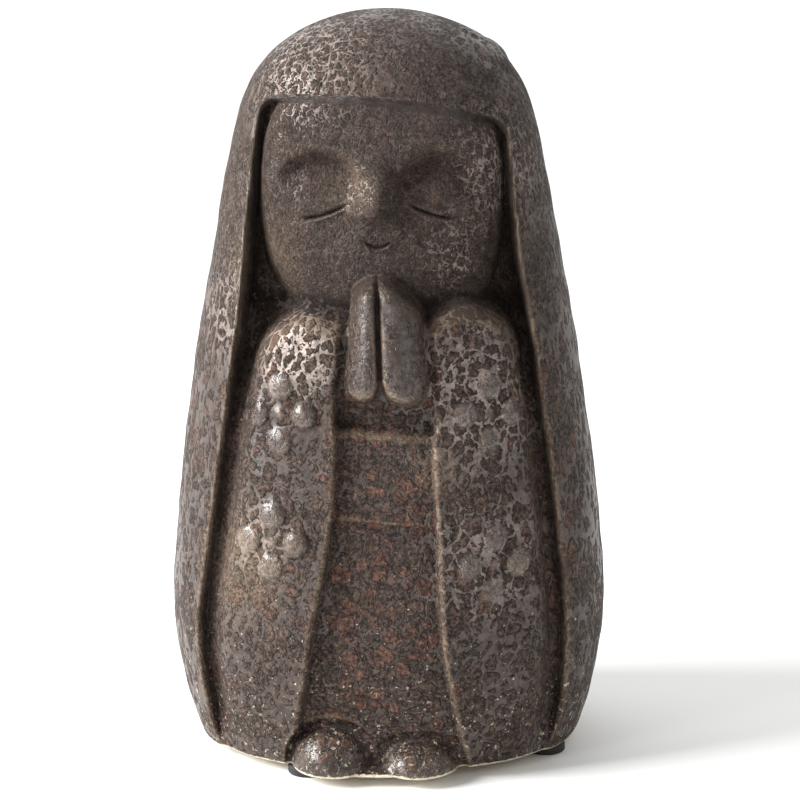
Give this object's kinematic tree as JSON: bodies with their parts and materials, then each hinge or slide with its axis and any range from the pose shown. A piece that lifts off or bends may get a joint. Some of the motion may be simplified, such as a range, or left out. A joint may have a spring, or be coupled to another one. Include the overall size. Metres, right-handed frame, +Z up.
{
  "type": "praying goddess figurine",
  "caption": "Standing praying goddess figurine in mottled brown glazed stoneware: hair falling like a mantle, closed eyes, palms together, flowered robe, on rubber pads.",
  "frame": {"origin": "on the table, under the middle of the figure", "axes": "+Z up from the pads to the crown, -Y the way the face looks, +X to a viewer's right as they look at the face"},
  "size_m": [0.1104, 0.0936, 0.186],
  "materials": {
    "glaze": "mottled dark brown glaze, satin with glossy grey veins over matt rust",
    "pad_rubber": "matt black"
  },
  "bodies": {
    "root": {"figure": "glaze", "pad_front_right": "pad_rubber", "pad_back_right": "pad_rubber", "pad_back_left": "pad_rubber", "pad_front_left": "pad_rubber"}
  },
  "joints": []
}
